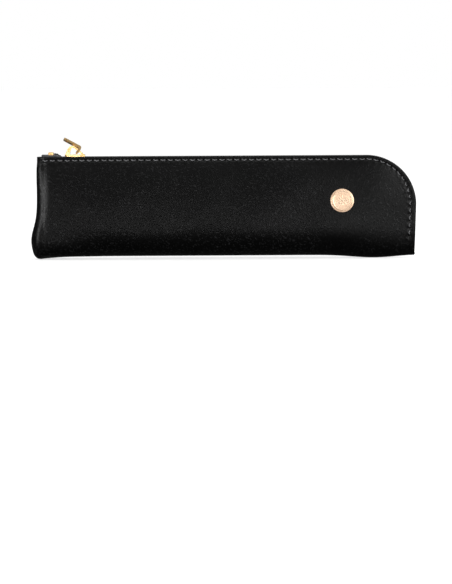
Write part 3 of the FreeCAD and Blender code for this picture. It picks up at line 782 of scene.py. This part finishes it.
def badge():
    """Stepped base, satin face with a soft rim, and a plain rosette of eight petals inside a fine ring.
    The turned profiles are pairs of a radius and a height over the skin."""
    base = [(5.0, -0.4), (6.02, -0.4), (6.1, -0.2), (6.1, 0.62), (6.02, 0.78), (5.86, 0.84), (5.66, 0.84)]
    base += [(5.56, 0.9), (5.52, 1.02), (5.0, 1.02), (1.3, 1.02)]
    face = [(1.3, 1.0), (5.1, 1.0), (5.3, 1.06), (5.34, 1.3), (5.28, 1.46), (5.12, 1.56), (4.92, 1.59)]
    face += [(4.76, 1.56), (4.62, 1.50), (4.3, 1.49), (3.0, 1.52), (1.5, 1.54), (0.02, 1.55)]
    mark = [petal(math.pi * i / 4, 3.0, 0.75, 0.46, 0.16, 1.47) for i in range(8)]
    stud = [(0.02, 1.72), (0.25, 1.71), (0.45, 1.66), (0.55, 1.56), (0.55, 1.45), (0.02, 1.45)]
    ring = [(3.62, 1.45), (3.6, 1.53), (3.68, 1.57), (3.76, 1.57), (3.84, 1.53), (3.82, 1.45)]
    mark.append(turned(stud, 32))
    mark.append(turned(ring))
    for name, parts, nodes in (
        ("badge_stepped_base", [turned(base)], ["badge_base"]),
        ("badge_satin_face", [turned(face)], ["badge_face"]),
        ("badge_rosette", mark, []),
    ):
        piece = new_mesh(name, *join_parts(parts), ROSE_MAT, 32.0)
        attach(piece, "case")
        if nodes:
            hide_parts(*nodes)


def hardware():
    """Plated metal and softened edges for the solid metal parts."""
    plated = {"slider_body": 0.16, "slider_bridge": 0.2, "pull_tab": 0.16, "top_stop_front": 0.0,
              "top_stop_back": 0.0, "bottom_stop": 0.0, "badge_post": 0.0, "badge_washer": 0.0}
    for node, bevel in plated.items():
        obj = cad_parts[node]
        obj.data.materials.clear()
        obj.data.materials.append(GOLD_MAT)
        if bevel:
            softened = obj.modifiers.new("softened_edges", "BEVEL")
            softened.width = bevel * MM
            softened.segments = 2
            softened.limit_method = "ANGLE"
            softened.angle_limit = math.radians(40)


# ---------------------------------------------------------------- stage
def stage():
    """Pale floor."""
    bpy.ops.mesh.primitive_plane_add(size=40.0, location=(0, 0, 0))
    floor = bpy.context.object
    floor.name = "floor"
    n = Nodes("pale_floor")
    speckle = n.noise(n.place, 400.0, 2.0)
    n.colour(speckle.outputs["Fac"], (0.40, 0.40, 0.40), (0.42, 0.42, 0.42))
    n.set(Roughness=0.9, Emission_Color=(1.0, 1.0, 1.0, 1.0), Emission_Strength=0.6)
    floor.data.materials.append(n.material)
    floor.visible_glossy = False


def area_light(name, place, width, height, power):
    """A card of light that faces the middle of the case."""
    light = bpy.data.lights.new(name, "AREA")
    light.shape = "RECTANGLE"
    light.size, light.size_y = width, height
    light.energy = power
    obj = bpy.data.objects.new(name, light)
    obj.location = place
    obj.rotation_euler = (Vector(LIGHT_AIM) - Vector(place)).to_track_quat("-Z", "Y").to_euler()
    bpy.context.scene.collection.objects.link(obj)


def lights():
    """Cards round the case, in a white room that glossy surfaces see as dim."""
    area_light("low_strip", (0.0, -1.3, 0.08), 1.2, 0.08, 1.9)
    area_light("badge_card", (0.36, -1.25, 0.45), 0.4, 0.6, 0.22)
    area_light("right_card", (1.05, -0.95, 0.40), 1.0, 0.8, 12.0)
    area_light("left_card", (-1.05, -0.75, 0.25), 0.5, 0.5, 9.0)
    area_light("near_left_card", (-0.45, -1.2, 0.2), 0.3, 0.5, 0.15)
    area_light("top", (0.0, 0.1, 1.5), 1.6, 1.0, 4.0)
    area_light("back", (0.3, 1.3, 0.85), 2.4, 0.9, 8.0)
    world = bpy.data.worlds.new("studio")
    bpy.context.scene.world = world
    world.use_nodes = True
    tree = world.node_tree
    tree.nodes.clear()
    room = tree.nodes.new("ShaderNodeBackground")
    dim = tree.nodes.new("ShaderNodeBackground")
    rays = tree.nodes.new("ShaderNodeLightPath")
    mix = tree.nodes.new("ShaderNodeMixShader")
    place = tree.nodes.new("ShaderNodeTexCoord")
    height = tree.nodes.new("ShaderNodeSeparateXYZ")
    ramp = tree.nodes.new("ShaderNodeValToRGB")
    out = tree.nodes.new("ShaderNodeOutputWorld")
    room.inputs["Color"].default_value = (1.0, 1.0, 1.0, 1.0)
    lowest, highest = ramp.color_ramp.elements[0], ramp.color_ramp.elements[1]
    lowest.color = (0.05, 0.05, 0.05, 1.0)
    highest.color = (1.0, 1.0, 1.0, 1.0)
    for position, level in ((0.08, 0.03), (0.55, 0.05), (0.78, 0.75)):
        ramp.color_ramp.elements.new(position).color = (level, level, level, 1.0)
    tree.links.new(place.outputs["Generated"], height.inputs["Vector"])
    tree.links.new(height.outputs["Z"], ramp.inputs["Fac"])
    tree.links.new(ramp.outputs["Color"], dim.inputs["Color"])
    tree.links.new(rays.outputs["Is Glossy Ray"], mix.inputs["Fac"])
    tree.links.new(room.outputs["Background"], mix.inputs[1])
    tree.links.new(dim.outputs["Background"], mix.inputs[2])
    tree.links.new(mix.outputs["Shader"], out.inputs["Surface"])


def camera():
    """Long lens, level with the case, which sits in the upper half of the picture."""
    data = bpy.data.cameras.new("camera")
    data.sensor_fit = "HORIZONTAL"
    data.sensor_width = 36.0
    distance = 1.9
    frame_width = 0.2352
    data.lens = data.sensor_width * distance / frame_width
    data.shift_x = 0.0
    data.shift_y = -0.2045
    data.clip_end = 60.0
    obj = bpy.data.objects.new("camera", data)
    rise = math.radians(2.0)
    aim = Vector((0.0012, 0.0, 0.0305))
    obj.location = aim + Vector((0.0, -distance * math.cos(rise), distance * math.sin(rise)))
    turn = (aim - obj.location).to_track_quat("-Z", "Y").to_matrix()
    roll = Matrix.Rotation(math.radians(-0.30), 3, "Z")
    obj.rotation_euler = (turn @ roll).to_euler()
    bpy.context.scene.collection.objects.link(obj)
    bpy.context.scene.camera = obj


for side_name, side in SIDES.items():
    leather_wall(side_name, side)
    lining(side_name, side)
    tape(side_name, side)
    coil(side_name, side)
    stitching(side_name, side)
end_tab()
badge()
hardware()
stage()
lights()
camera()
bpy.context.scene.view_settings.view_transform = "Standard"
